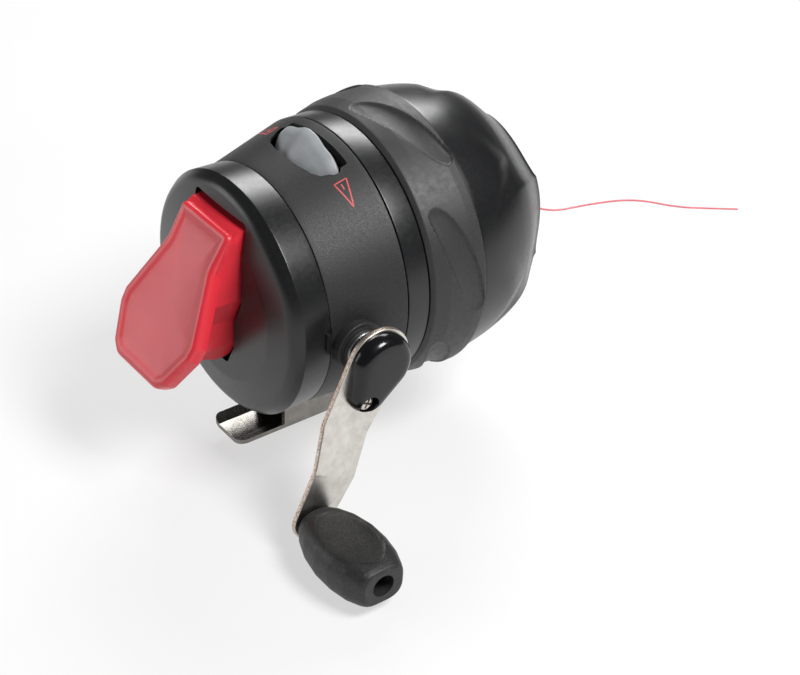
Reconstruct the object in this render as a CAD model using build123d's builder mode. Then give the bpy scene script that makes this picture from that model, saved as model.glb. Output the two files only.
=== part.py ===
"""Spincast reel with a rear thumb button, side crank, drag wheel and twist-off front cover.

Frame: origin at the centre of the foot's seat, +X forward along the line, +Z up,
crank on the -Y side. Millimetres. The spool axis runs along X at height AXIS_Z.
"""
from build123d import *
from math import asin, cos, degrees, pi, radians, sin, tan
import os

os.makedirs("parts", exist_ok=True)

# ---- driving dimensions -------------------------------------------------------------
AXIS_Z = 51.5            # spool and front cover axis above the foot seat
REAR_Z = 48.5            # centre of the rear cover: the barrel tapers down towards the rear
X_FACE = -31.6           # rear face of the rear cover
X_CREASE = -26.6         # edge of the rear cover's side wall
X_SEAM = -18.0           # seam between rear cover and housing
X_PART = 4.6             # parting line between housing and front cover
X_BAND = 11.8            # front edge of the smooth band
X_GRIP = 29.2            # front edge of the rubber grip
X_NOSE = 63.8            # front rim of the nose
R_SEAM = 35.0
R_PART = 38.5
R_BAND = 38.4
R_GRIP = 41.3
WALL = 2.0
FIT = 0.05               # radial running clearance of a shaft in its bearing

R_NECK = 35.4            # neck of the housing that the front cover screws onto
X_NECK = 14.0
X_DECK = 9.5             # rear face of the deck plate
T_DECK = 2.5

FOOT_LENGTH = 57.0
FOOT_WIDTH = 15.2
FOOT_SHEET = 1.4
STEM_LENGTH = 18.0

CRANK_X = -10.7
CRANK_Z = 47.1
CRANK_RADIUS = 47.0      # crank axis to knob axis
CRANK_LEAN = 28.5        # the arm hangs this many degrees behind straight down
ARM_IN = 44.8            # inner face of the arm, measured along -Y
ARM_SHEET = 1.5
ARM_JOG = 3.7            # the arm steps outwards by this much
KNOB_TIP = 81.5
R_SHAFT = 3.0            # crank shaft

GEAR_TEETH = 39
PINION_TEETH = 15
GEAR_PITCH_R = 11.7
R_CENTRE = 2.0           # centre shaft
R_SLEEVE = 3.2           # pinion sleeve

WHEEL_R = 16.5           # drag wheel
WHEEL_TOP = 91.9
PIVOT_X = -26.0          # thumb button pivot
PIVOT_Z = 73.0
LINE_D = 0.6

REEL_AXIS = Axis((0, 0, AXIS_Z), (1, 0, 0))


def turned(outline, height=AXIS_Z):
    """Solid of revolution about an axis along X at the given height, from (x, radius) points."""
    with BuildPart() as made:
        with BuildSketch(Plane.XZ):
            with BuildLine():
                Polyline(*[(x, height + r) for x, r in outline], close=True)
            make_face()
        revolve(axis=Axis((0, 0, height), (1, 0, 0)))
    return made


def turned_y(outline, x, z):
    """Solid of revolution about an axis along Y through (x, z), from (distance along -Y, radius)."""
    with BuildPart() as made:
        with BuildSketch(Plane.XY.offset(z)):
            with BuildLine():
                Polyline(*[(x + r, -d) for d, r in outline], close=True)
            make_face()
        revolve(axis=Axis((x, 0, z), (0, 1, 0)))
    return made


def tube(x0, x1, r_out, r_in):
    """Outline of a plain tube along X."""
    return [(x0, r_in), (x1, r_in), (x1, r_out), (x0, r_out)]


# ---- housing ------------------------------------------------------------------------
POSTS = [(23.6, 62.5), (22.5, 38.5), (-15.3, 29.5)]    # (y, z) of the three screw posts
SADDLE_TOP = 16.0
STEM_X = -4.7            # centre of the foot's stem
STEM_TOP = 12.8          # underside of the saddle, where the foot bolts on
FOOT_SCREW_X = 5.6       # foot screws at plus and minus this
DECK_LEDGE_R = 31.0
R_BOSS = 7.2             # outer step of the crank boss
WHEEL_Z = WHEEL_TOP - WHEEL_R
# tapered side of the drag wheel: (x, radius)
WHEEL_SIDE = [(-8.7, 9.4), (-5.6, 13.4), (-3.6, 15.6), (-1.5, 16.5), (-0.7, 15.8)]
WHEEL_GAP = 0.6

with BuildPart() as body_housing:
    with BuildSketch(Plane.YZ.offset(X_SEAM)):
        with Locations((0, REAR_Z)):
            Circle(R_SEAM)
    with BuildSketch(Plane.YZ.offset(X_PART)):
        with Locations((0, AXIS_Z)):
            Circle(R_PART)
    loft()
    # neck inside the front cover
    with BuildSketch(Plane.YZ.offset(X_PART)):
        with Locations((0, AXIS_Z)):
            Circle(R_NECK)
    extrude(amount=X_NECK - X_PART)
    # flat saddle under the barrel for the foot
    with BuildSketch(Plane.XY.offset(STEM_TOP)):
        with Locations((STEM_X, 0)):
            RectangleRounded(STEM_LENGTH, FOOT_WIDTH, 1.0)
    extrude(amount=SADDLE_TOP - STEM_TOP)
    # two-step crank boss
    with BuildSketch(Plane.XZ.offset(26)):
        with Locations((CRANK_X, CRANK_Z)):
            Circle(R_BOSS)
    extrude(amount=12.2)
    with BuildSketch(Plane.XZ.offset(30)):
        with Locations((CRANK_X, CRANK_Z)):
            Circle(R_BOSS - 1.4)
    extrude(amount=9.4)
    # hollow barrel
    with BuildSketch(Plane.YZ.offset(X_SEAM)):
        with Locations((0, REAR_Z)):
            Circle(R_SEAM - WALL - 0.4)
    with BuildSketch(Plane.YZ.offset(X_PART - WALL)):
        with Locations((0, AXIS_Z - 0.3)):
            Circle(R_PART - WALL - 0.8)
    loft(mode=Mode.SUBTRACT)
    # neck bore with a ledge for the deck plate
    with BuildSketch(Plane.YZ.offset(X_PART - WALL - 1)):
        with Locations((0, AXIS_Z)):
            Circle(DECK_LEDGE_R)
    extrude(amount=20, mode=Mode.SUBTRACT)
    with BuildSketch(Plane.YZ.offset(X_DECK)):
        with Locations((0, AXIS_Z)):
            Circle(R_NECK - WALL - 0.4)
    extrude(amount=20, mode=Mode.SUBTRACT)
    # inner boss that backs the crank bushing, then its bore
    with BuildSketch(Plane.XZ.offset(27)):
        with Locations((CRANK_X, CRANK_Z)):
            Circle(R_BOSS - 1.4)
    extrude(amount=9)
    with BuildSketch(Plane.XZ.offset(20)):
        with Locations((CRANK_X, CRANK_Z)):
            Circle(4.4)
    extrude(amount=30, mode=Mode.SUBTRACT)
    # drag wheel window: straight front edge, round rear edge
    with BuildSketch(Plane.XY.offset(70)):
        with Locations((-1.4, 0)):
            Ellipse(8.4, 13.0)
        with Locations((0.1, 0)):
            Rectangle(3.0, 26.0)
        with Locations((8.6, 0)):
            Rectangle(14.0, 40.0, mode=Mode.SUBTRACT)
    extrude(amount=40, mode=Mode.SUBTRACT)
    # clearance pocket around the drag wheel
    with BuildSketch(Plane.XZ):
        with BuildLine():
            Polyline(
                (WHEEL_SIDE[0][0] - WHEEL_GAP, WHEEL_Z),
                *[(x - WHEEL_GAP / 2, WHEEL_Z + r + WHEEL_GAP) for x, r in WHEEL_SIDE[:-1]],
                (WHEEL_SIDE[-1][0] + WHEEL_GAP, WHEEL_Z + WHEEL_R + WHEEL_GAP),
                (WHEEL_SIDE[-1][0] + WHEEL_GAP, WHEEL_Z),
                close=True,
            )
        make_face()
    revolve(axis=Axis((0, 0, WHEEL_Z), (1, 0, 0)), mode=Mode.SUBTRACT)
    # foot screw holes
    with BuildSketch(Plane.XY.offset(STEM_TOP)):
        with Locations((STEM_X - FOOT_SCREW_X, 0), (STEM_X + FOOT_SCREW_X, 0)):
            Circle(1.3)
    extrude(amount=20, mode=Mode.SUBTRACT)

# ---- rear cover ---------------------------------------------------------------------
# half of the slot's outline, and of the web that works in it: (y, z)
SLOT_HALF = [(12.3, 77.8), (12.3, 53.0), (8.8, 45.0), (8.8, 35.0), (4.6, 25.6)]
WEB_HALF = [(10.8, 79.0), (10.8, 55.5), (7.0, 48.0), (7.0, 40.0), (2.5, 32.5)]
LIP_R = 32.5             # lip of the rear cover inside the barrel
EAR_Y = 12.2             # inner face of the pivot ears
PIN_Y = 14.8
R_PIVOT = 1.5
R_POST = 3.2
R_POST_SCREW = 1.25
POST_START = X_FACE + 1.5
SCREW_TIP_X = -13.0      # depth of the post screws' tips

with BuildPart() as rear_cover:
    with BuildSketch(Plane.XZ):
        with BuildLine():
            Polyline(
                (X_SEAM, REAR_Z + R_SEAM),
                (X_CREASE, REAR_Z + R_SEAM + 0.3),
                (X_CREASE - 3.2, REAR_Z + R_SEAM - 2.2),
                (X_FACE + 0.5, REAR_Z + 24.0),
                (X_FACE, REAR_Z),
                (X_FACE + WALL, REAR_Z),
                (X_FACE + WALL + 0.5, REAR_Z + 24.0),
                (X_CREASE - 1.4, REAR_Z + R_SEAM - WALL - 1.8),
                (X_CREASE + 1.0, REAR_Z + LIP_R - 1.5),
                (X_SEAM + 3.0, REAR_Z + LIP_R - 1.5),
                (X_SEAM + 3.0, REAR_Z + LIP_R),
                (X_SEAM, REAR_Z + LIP_R),
                close=True,
            )
        make_face()
    revolve(axis=Axis((0, 0, REAR_Z), (1, 0, 0)))
    # slot that the thumb button works in
    with BuildSketch(Plane.YZ.offset(X_FACE - 2)):
        with BuildLine():
            Polyline(*SLOT_HALF, *[(-y, z) for y, z in reversed(SLOT_HALF)], close=True)
        make_face()
        fillet(vertices(), 1.6)
    extrude(amount=8, mode=Mode.SUBTRACT)
    # posts that reach the deck plate and take its screws
    with BuildSketch(Plane.YZ.offset(POST_START)):
        with Locations(*POSTS):
            Circle(R_POST)
    extrude(amount=X_DECK - POST_START)
    with BuildSketch(Plane.YZ.offset(SCREW_TIP_X)):
        with Locations(*POSTS):
            Circle(R_POST_SCREW)
    extrude(amount=X_DECK - SCREW_TIP_X, mode=Mode.SUBTRACT)
    # the lip gives way to the crank boss
    with BuildSketch(Plane.XZ.offset(20)):
        with Locations((CRANK_X, CRANK_Z)):
            Circle(R_BOSS + 0.4)
    extrude(amount=20, mode=Mode.SUBTRACT)
    # ears for the button's pivot pin
    with BuildSketch(Plane.XZ.offset(EAR_Y)):
        with Locations((PIVOT_X - 1.2, PIVOT_Z)):
            RectangleRounded(7.4, 8.0, 2.0)
    extrude(amount=PIN_Y - EAR_Y)
    with BuildSketch(Plane.XZ.offset(-PIN_Y)):
        with Locations((PIVOT_X - 1.2, PIVOT_Z)):
            RectangleRounded(7.4, 8.0, 2.0)
    extrude(amount=PIN_Y - EAR_Y)
    with BuildSketch(Plane.XZ.offset(-PIN_Y)):
        with Locations((PIVOT_X, PIVOT_Z)):
            Circle(R_PIVOT)
    extrude(amount=2 * PIN_Y, mode=Mode.SUBTRACT)
    # snap tabs on both sides of the seam
    with Locations(*[(X_SEAM - 1.2, side * (R_SEAM + 0.2), REAR_Z + 1.6) for side in (-1, 1)]):
        Box(1.6, 1.2, 5.2)

with BuildPart() as pivot_pin:
    with BuildSketch(Plane.XZ.offset(-PIN_Y)):
        with Locations((PIVOT_X, PIVOT_Z)):
            Circle(R_PIVOT)
    extrude(amount=2 * PIN_Y)

# ---- thumb button -------------------------------------------------------------------
BUTTON_BELLY = Vector(-50.4, 0, 48.2)      # middle of the button's widest line
BUTTON_TOP = Vector(-35.3, 0, 74.6)
BUTTON_THICK = 4.6
WEB_WIDTH = 21.2
PUSH_NOSE_R = 2.5
CAP_REAR = -27.7                           # rear end of the thrust cap

button_rise = (BUTTON_TOP - BUTTON_BELLY).normalized()
button_out = Vector(-button_rise.Z, 0, button_rise.X)
BUTTON_PLANE = Plane(origin=BUTTON_BELLY, x_dir=(0, -1, 0), z_dir=button_out)

# web between the paddle and the pivot, with the nose that pushes the thrust cap
with BuildPart() as button_web:
    with BuildSketch(Plane.XZ.offset(-WEB_WIDTH / 2)):
        with BuildLine():
            Polyline(
                (-35.0, 73.4),
                (-31.6, 75.6),
                (-25.6, 76.3),
                (-22.8, 74.4),
                (-22.8, 71.0),
                (-26.6, 66.0),
                (-30.4, 60.0),
                (-30.4, 34.0),
                (-33.0, 30.5),
                (-47.0, 38.6),
                (-46.8, 47.6),
                close=True,
            )
        make_face()
    extrude(amount=WEB_WIDTH)
    with BuildSketch(Plane.YZ.offset(-55)):
        with BuildLine():
            Polyline(*WEB_HALF, *[(-y, z) for y, z in reversed(WEB_HALF)], close=True)
        make_face()
        fillet(vertices(), 1.0)
    extrude(amount=40, mode=Mode.INTERSECT)
    with BuildSketch(Plane.XZ.offset(-5)):
        with Locations((CAP_REAR - 0.3 - PUSH_NOSE_R, AXIS_Z)):
            Circle(PUSH_NOSE_R)
    extrude(amount=10)
    with BuildSketch(Plane.XZ.offset(-WEB_WIDTH)):
        with Locations((PIVOT_X, PIVOT_Z)):
            Circle(R_PIVOT + FIT)
    extrude(amount=2 * WEB_WIDTH, mode=Mode.SUBTRACT)

# paddle: (half width, distance up the slope)
PADDLE = [(11.6, 31.8), (11.2, 20.5), (14.2, 12.0), (18.0, 1.2), (17.7, -2.8), (13.2, -13.0), (9.8, -15.6)]
with BuildPart() as thumb_button:
    with BuildSketch(BUTTON_PLANE):
        with BuildLine():
            Polyline(*PADDLE, *[(-x, y) for x, y in reversed(PADDLE)], close=True)
        make_face()
    extrude(amount=-BUTTON_THICK)
    fillet(thumb_button.faces().sort_by(SortBy.AREA)[-2:].edges(), 1.6)
    add(button_web)

# ---- foot ---------------------------------------------------------------------------
EDGE_RISE = 1.1          # the tabs are troughs: their edges stand this much above the seat
SEAT_WIDTH = 8.0
half_foot = FOOT_WIDTH / 2

with BuildPart() as reel_foot:
    with BuildSketch(Plane.YZ.offset(-FOOT_LENGTH / 2)):
        with BuildLine():
            Polyline(
                (-half_foot, EDGE_RISE),
                (-SEAT_WIDTH / 2, 0),
                (SEAT_WIDTH / 2, 0),
                (half_foot, EDGE_RISE),
                (half_foot, EDGE_RISE + FOOT_SHEET),
                (SEAT_WIDTH / 2, FOOT_SHEET),
                (-SEAT_WIDTH / 2, FOOT_SHEET),
                (-half_foot, EDGE_RISE + FOOT_SHEET),
                close=True,
            )
        make_face()
    extrude(amount=FOOT_LENGTH)
    fillet(reel_foot.edges().filter_by(lambda e: abs(abs(e.center().Y) - half_foot) < 0.01
                                       and abs(abs(e.center().X) - FOOT_LENGTH / 2) < 0.01), 2.6)
    # channel: two folded walls and the plate that is screwed to the saddle
    with BuildSketch(Plane.YZ.offset(STEM_X - STEM_LENGTH / 2)):
        with Locations((0, (EDGE_RISE + STEM_TOP) / 2)):
            Rectangle(FOOT_WIDTH, STEM_TOP - EDGE_RISE)
        with Locations((0, (FOOT_SHEET + STEM_TOP - FOOT_SHEET) / 2)):
            Rectangle(FOOT_WIDTH - 2 * FOOT_SHEET, STEM_TOP - 2 * FOOT_SHEET, mode=Mode.SUBTRACT)
    extrude(amount=STEM_LENGTH)
    with BuildSketch(Plane.XY.offset(STEM_TOP - 3)):
        with Locations((STEM_X - FOOT_SCREW_X, 0), (STEM_X + FOOT_SCREW_X, 0)):
            Circle(1.6)
    extrude(amount=6, mode=Mode.SUBTRACT)

with BuildPart() as foot_screws:
    with BuildSketch(Plane.XY.offset(STEM_TOP - FOOT_SHEET - 1.2)):
        with Locations((STEM_X - FOOT_SCREW_X, 0), (STEM_X + FOOT_SCREW_X, 0)):
            Circle(2.6)
    extrude(amount=1.2)
    with BuildSketch(Plane.XY.offset(STEM_TOP - FOOT_SHEET)):
        with Locations((STEM_X - FOOT_SCREW_X, 0), (STEM_X + FOOT_SCREW_X, 0)):
            Circle(1.3)
    extrude(amount=FOOT_SHEET + 3.0)

# ---- deck plate, spool bearing and their fasteners ----------------------------------
R_ARBOR = 5.5
X_ARBOR = 29.0
R_BUSH = 4.0
AXLE_R = 2.0
WHEEL_X0 = WHEEL_SIDE[0][0]
WHEEL_X1 = WHEEL_SIDE[-1][0]

with BuildPart() as deck_plate:
    with BuildSketch(Plane.YZ.offset(X_DECK)):
        with Locations((0, AXIS_Z)):
            Circle(R_NECK - WALL - 0.4)
            Circle(R_BUSH, mode=Mode.SUBTRACT)
        with Locations(*POSTS):
            Circle(1.7, mode=Mode.SUBTRACT)
        with Locations((0, WHEEL_Z)):
            Circle(AXLE_R, mode=Mode.SUBTRACT)
    extrude(amount=T_DECK)
    with BuildSketch(Plane.YZ.offset(X_DECK + T_DECK)):
        with Locations((0, AXIS_Z)):
            Circle(R_ARBOR)
            Circle(R_BUSH, mode=Mode.SUBTRACT)
    extrude(amount=X_ARBOR - X_DECK - T_DECK)

with BuildPart() as deck_screws:
    with BuildSketch(Plane.YZ.offset(X_DECK + T_DECK)):
        with Locations(*POSTS):
            Circle(2.7)
    extrude(amount=1.4)
    with BuildSketch(Plane.YZ.offset(SCREW_TIP_X)):
        with Locations(*POSTS):
            Circle(R_POST_SCREW)
    extrude(amount=X_DECK + T_DECK - SCREW_TIP_X)

pinion_bushing = turned(tube(X_DECK, X_ARBOR, R_BUSH, R_SLEEVE + FIT))
drag_axle = turned(
    [(WHEEL_X0 - 1.6, 0), (X_DECK + T_DECK, 0), (X_DECK + T_DECK, AXLE_R), (WHEEL_X0 - 0.3, AXLE_R),
     (WHEEL_X0 - 0.3, 3.2), (WHEEL_X0 - 1.6, 3.2)],
    WHEEL_Z,
)

# ---- drag wheel ---------------------------------------------------------------------
LOBES = 8
LOBE_DEPTH = 1.1

with BuildPart() as drag_wheel:
    with BuildSketch(Plane.XZ):
        with BuildLine():
            Polyline(
                (WHEEL_X0, WHEEL_Z + AXLE_R + FIT),
                *[(x, WHEEL_Z + r) for x, r in WHEEL_SIDE],
                (WHEEL_X1, WHEEL_Z + AXLE_R + FIT),
                close=True,
            )
        make_face()
    revolve(axis=Axis((0, 0, WHEEL_Z), (1, 0, 0)))
    with BuildSketch(Plane.YZ.offset(WHEEL_X0)):
        with Locations((0, WHEEL_Z)):
            with PolarLocations(WHEEL_R + 7.0 - LOBE_DEPTH, LOBES, start_angle=180 / LOBES + 90):
                Circle(7.0)
    extrude(amount=WHEEL_X1 - WHEEL_X0, mode=Mode.SUBTRACT)

# ---- spool and its line -------------------------------------------------------------
R_FLANGE = 27.0
R_SPOOL = 18.0
R_WOUND = 24.5
X_SPOOL0 = 15.0
X_SPOOL1 = 28.0
FLANGE = 1.4

spool = turned([
    (X_SPOOL0, R_ARBOR + FIT), (X_SPOOL1, R_ARBOR + FIT), (X_SPOOL1, R_FLANGE), (X_SPOOL1 - FLANGE, R_FLANGE),
    (X_SPOOL1 - FLANGE, R_SPOOL), (X_SPOOL0 + FLANGE, R_SPOOL), (X_SPOOL0 + FLANGE, R_FLANGE),
    (X_SPOOL0, R_FLANGE),
])
wound_line = turned(tube(X_SPOOL0 + FLANGE, X_SPOOL1 - FLANGE, R_WOUND, R_SPOOL))
drag_washers = turned(tube(X_DECK + T_DECK + 0.2, X_SPOOL0 - 0.2, 12.0, R_ARBOR + FIT))

# ---- pinion, centre shaft and spinner head ------------------------------------------
MODULE = 2 * GEAR_PITCH_R / GEAR_TEETH
SKEW = degrees(asin((AXIS_Z - CRANK_Z) / GEAR_PITCH_R))
PINION_PITCH_R = GEAR_PITCH_R * cos(radians(SKEW)) * PINION_TEETH / GEAR_TEETH
PINION_TIP = PINION_PITCH_R + 0.55
PINION_ROOT = PINION_PITCH_R - 0.6
MESH_X = CRANK_X + GEAR_PITCH_R * cos(radians(SKEW))
X_PINION0 = -3.2
X_PINION1 = 3.2
X_SLEEVE1 = 30.0

with BuildPart() as pinion:
    with BuildSketch(Plane.YZ.offset(X_PINION0)):
        with Locations((0, AXIS_Z)):
            Circle(PINION_ROOT)
            with PolarLocations(0, PINION_TEETH, start_angle=180):
                Polygon((PINION_ROOT - 0.4, -0.38), (PINION_TIP, -0.2), (PINION_TIP, 0.2),
                        (PINION_ROOT - 0.4, 0.38), align=None)
    extrude(amount=X_PINION1 - X_PINION0)
    with BuildSketch(Plane.YZ.offset(X_PINION1)):
        with Locations((0, AXIS_Z)):
            Circle(R_SLEEVE)
    extrude(amount=X_SLEEVE1 - X_PINION1)
    with BuildSketch(Plane.YZ.offset(X_PINION0)):
        with Locations((0, AXIS_Z)):
            Circle(R_CENTRE + FIT)
    extrude(amount=X_SLEEVE1 - X_PINION0, mode=Mode.SUBTRACT)

X_HEAD = 38.6
T_HEAD = 2.2
R_HEAD = 31.4
R_HEAD_IN = 29.6
X_SKIRT = 24.0
X_SHAFT_END = 45.5
HUB_R = 7.0
PIN_X = 35.4             # pickup pin
R_PICKUP = 1.1
R_PICKUP_HOLE = R_PICKUP + FIT

centre_shaft = turned([
    (CAP_REAR + 2.0, 0), (X_SHAFT_END, 0), (X_SHAFT_END, R_CENTRE - 0.5), (X_HEAD + T_HEAD, R_CENTRE - 0.5),
    (X_HEAD + T_HEAD, R_CENTRE), (CAP_REAR + 2.0, R_CENTRE),
])

with BuildPart() as spinner_head:
    with BuildSketch(Plane.XZ):
        with BuildLine():
            Polyline(
                (X_HEAD + T_HEAD, AXIS_Z + R_CENTRE),
                (X_HEAD + T_HEAD, AXIS_Z + R_HEAD - 4.0),
                (X_HEAD - 1.5, AXIS_Z + R_HEAD),
                (X_SKIRT, AXIS_Z + R_HEAD),
                (X_SKIRT, AXIS_Z + R_HEAD_IN),
                (X_HEAD - 2.5, AXIS_Z + R_HEAD_IN),
                (X_HEAD, AXIS_Z + R_HEAD_IN - 3.0),
                (X_HEAD, AXIS_Z + HUB_R),
                (X_SLEEVE1 + 0.6, AXIS_Z + HUB_R),
                (X_SLEEVE1 + 0.6, AXIS_Z + R_CENTRE),
                close=True,
            )
        make_face()
    revolve(axis=REEL_AXIS)
    # guide for the pickup pin, through the skirt
    with BuildSketch(Plane.XY.offset(AXIS_Z + 20)):
        with Locations((PIN_X, 0)):
            Circle(2.4)
    extrude(until=Until.LAST)
    with BuildSketch(Plane.XY.offset(AXIS_Z + 15)):
        with Locations((PIN_X, 0)):
            Circle(R_PICKUP_HOLE)
    extrude(amount=30, mode=Mode.SUBTRACT)

with BuildPart() as pickup_pin:
    with BuildSketch(Plane.XY.offset(AXIS_Z + 16)):
        with Locations((PIN_X, 0)):
            Circle(R_PICKUP)
    extrude(amount=R_HEAD + 1.6 - 16)
    fillet(pickup_pin.faces().sort_by(Axis.Z)[-1].edges(), 0.5)

with BuildPart() as head_nut:
    with BuildSketch(Plane.YZ.offset(X_HEAD + T_HEAD)):
        with Locations((0, AXIS_Z)):
            RegularPolygon(4.0, 6)
            Circle(R_CENTRE - 0.5, mode=Mode.SUBTRACT)
    extrude(amount=3.0)

# ---- thrust cap and return spring ---------------------------------------------------
R_CAP = 3.3
CAP_FRONT = -17.0
SPRING_WIRE = 0.5

with BuildPart() as thrust_cap:
    with BuildSketch(Plane.YZ.offset(CAP_REAR)):
        with Locations((0, AXIS_Z)):
            Circle(R_CAP)
    extrude(amount=CAP_FRONT - CAP_REAR)
    fillet(thrust_cap.faces().sort_by(Axis.X)[0].edges(), 1.4)
    with BuildSketch(Plane.YZ.offset(CAP_REAR + 2.0)):
        with Locations((0, AXIS_Z)):
            Circle(R_CENTRE + FIT)
    extrude(amount=CAP_FRONT - CAP_REAR, mode=Mode.SUBTRACT)

SPRING_LENGTH = X_PINION0 - 0.6 - CAP_FRONT
with BuildPart() as return_spring:
    with BuildLine() as coil:
        Helix(
            pitch=(SPRING_LENGTH - 2 * SPRING_WIRE) / 5,
            height=SPRING_LENGTH - 2 * SPRING_WIRE,
            radius=R_CENTRE + 0.15 + SPRING_WIRE / 2,
            center=(CAP_FRONT + SPRING_WIRE, 0, AXIS_Z),
            direction=(1, 0, 0),
        )
    with BuildSketch(coil.line ^ 0):
        Circle(SPRING_WIRE / 2)
    sweep(is_frenet=True)

# ---- crank gear train ---------------------------------------------------------------
PINION_SIDE = PINION_TIP + 0.3              # face of the gear blank, measured along -Y
GEAR_RIM = 12.6
RATCHET_R = 8.4
RATCHET_TEETH = 12
TOOTH_TOP = PINION_ROOT + 0.3
TOOTH_LENGTH = 2.0
BUSH_IN = 27.0
BOSS_OUT = 39.4

with BuildPart() as drive_gear:
    with BuildSketch(Plane.XZ.offset(PINION_SIDE)):
        with Locations((CRANK_X, CRANK_Z)):
            Circle(GEAR_RIM)
            Circle(R_SHAFT, mode=Mode.SUBTRACT)
    extrude(amount=2.6)
    # face teeth, set at the skew of the shaft offset, so that they run along the pinion in mesh
    with BuildSketch(Plane.XZ.offset(TOOTH_TOP)):
        with Locations((CRANK_X, CRANK_Z)):
            with PolarLocations(GEAR_PITCH_R, GEAR_TEETH, start_angle=SKEW + 180 / GEAR_TEETH):
                Rectangle(TOOTH_LENGTH, 0.48, rotation=-SKEW)
    extrude(amount=PINION_SIDE - TOOTH_TOP)

with BuildPart() as ratchet_wheel:
    with BuildSketch(Plane.XZ.offset(PINION_SIDE + 2.8)):
        with Locations((CRANK_X, CRANK_Z)):
            Circle(RATCHET_R - 1.4)
            with PolarLocations(0, RATCHET_TEETH):
                Polygon((RATCHET_R - 2.2, -1.7), (RATCHET_R, 1.5), (RATCHET_R - 2.4, 1.7), align=None)
            Circle(R_SHAFT, mode=Mode.SUBTRACT)
    extrude(amount=2.0)

crank_shaft = turned_y([
    (PINION_SIDE, 0), (ARM_IN + ARM_SHEET + 3.2, 0), (ARM_IN + ARM_SHEET + 3.2, R_SHAFT - 0.6),
    (ARM_IN, R_SHAFT - 0.6), (ARM_IN, 5.0), (BOSS_OUT + 1.4, 5.0), (BOSS_OUT + 1.4, R_SHAFT),
    (PINION_SIDE, R_SHAFT),
], CRANK_X, CRANK_Z)
crank_bushing = turned_y([
    (BUSH_IN, R_SHAFT + FIT), (BOSS_OUT + 1.0, R_SHAFT + FIT), (BOSS_OUT + 1.0, 5.6), (BOSS_OUT, 5.6),
    (BOSS_OUT, 4.4), (BUSH_IN, 4.4),
], CRANK_X, CRANK_Z)

# anti-reverse pawl: lies lifted just clear of the ratchet
PAWL_X = CRANK_X + 10.5
PAWL_Z = CRANK_Z - 11.5
PAWL_Y = PINION_SIDE + 2.9
R_PAWL_PIN = 1.2

with BuildPart() as pawl:
    with BuildSketch(Plane.XZ.offset(PAWL_Y)):
        with BuildLine():
            Polyline(
                (PAWL_X + 1.8, PAWL_Z + 1.8),
                (PAWL_X + 1.8, PAWL_Z - 1.8),
                (PAWL_X - 2.0, PAWL_Z - 2.0),
                (PAWL_X - 9.0, PAWL_Z + 0.6),
                (PAWL_X - 7.8, PAWL_Z + 2.2),
                (PAWL_X - 1.0, PAWL_Z + 2.0),
                close=True,
            )
        make_face()
        with Locations((PAWL_X, PAWL_Z)):
            Circle(R_PAWL_PIN + FIT, mode=Mode.SUBTRACT)
    extrude(amount=1.8)
PAWL_PIN_END = 27.0
with BuildPart() as pawl_pin:
    with BuildSketch(Plane.XZ.offset(PAWL_Y - 0.6)):
        with Locations((PAWL_X, PAWL_Z)):
            Circle(R_PAWL_PIN)
    extrude(amount=PAWL_PIN_END - PAWL_Y)
    with BuildSketch(Plane.XZ.offset(PAWL_Y + 2.1)):
        with Locations((PAWL_X, PAWL_Z)):
            Circle(2.2)
    extrude(amount=29.4 - PAWL_Y - 2.1)

# ---- crank arm, cap and knob --------------------------------------------------------
lean = radians(CRANK_LEAN)
arm_down = Vector(-sin(lean), 0, -cos(lean))
HUB = Vector(CRANK_X, 0, CRANK_Z)
ARM_PLANE = Plane(origin=HUB, x_dir=arm_down, z_dir=(0, -1, 0))
SIDE_PLANE = Plane(origin=HUB, x_dir=arm_down, z_dir=(-cos(lean), 0, sin(lean)))
KNOB_AXIS = HUB + arm_down * CRANK_RADIUS
ARM_OUT = ARM_IN + ARM_SHEET
KNOB_SEAT = ARM_OUT + ARM_JOG
HUB_HALF = 9.8
ARM_HALF = 6.2
JOG_START = 21.0
JOG_END = 33.0
BEND_R = 6.0
R_RIVET = 2.2
R_RIVET_HEAD = 3.0
R_KNOB_HOLE = 3.3

with BuildPart() as crank_arm:
    # bent strip seen from its edge
    with BuildSketch(SIDE_PLANE):
        with BuildLine():
            Polyline(
                (-12, ARM_IN),
                (JOG_START, ARM_IN),
                (JOG_END, ARM_IN + ARM_JOG),
                (CRANK_RADIUS + 8, ARM_IN + ARM_JOG),
                (CRANK_RADIUS + 8, ARM_OUT + ARM_JOG),
                (JOG_END, ARM_OUT + ARM_JOG),
                (JOG_START, ARM_OUT),
                (-12, ARM_OUT),
                close=True,
            )
        make_face()
        fillet(vertices().filter_by(lambda v: JOG_START - 1 < v.X < JOG_END + 1), BEND_R)
    extrude(amount=12, both=True)
    # outline of the strip seen from its face
    with BuildSketch(ARM_PLANE.offset(ARM_IN - 1)):
        Circle(HUB_HALF)
        with Locations((CRANK_RADIUS, 0)):
            Circle(ARM_HALF)
        make_hull()
    extrude(amount=ARM_JOG + ARM_SHEET + 2, mode=Mode.INTERSECT)
    with BuildSketch(ARM_PLANE.offset(ARM_IN - 1)):
        Circle(R_SHAFT - 0.6)
        with Locations((CRANK_RADIUS, 0)):
            Circle(R_RIVET)
    extrude(amount=12, mode=Mode.SUBTRACT)

NUT_HEIGHT = 2.6
CAP_HEIGHT = 4.4
CAP_TAIL = 8.6           # distance from the hub to the cap's small end centre
CAP_SCREW = 11.3
with BuildPart() as crank_nut:
    with BuildSketch(ARM_PLANE.offset(ARM_OUT)):
        RegularPolygon(4.4, 6)
        Circle(R_SHAFT - 0.6, mode=Mode.SUBTRACT)
    extrude(amount=NUT_HEIGHT)

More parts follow.
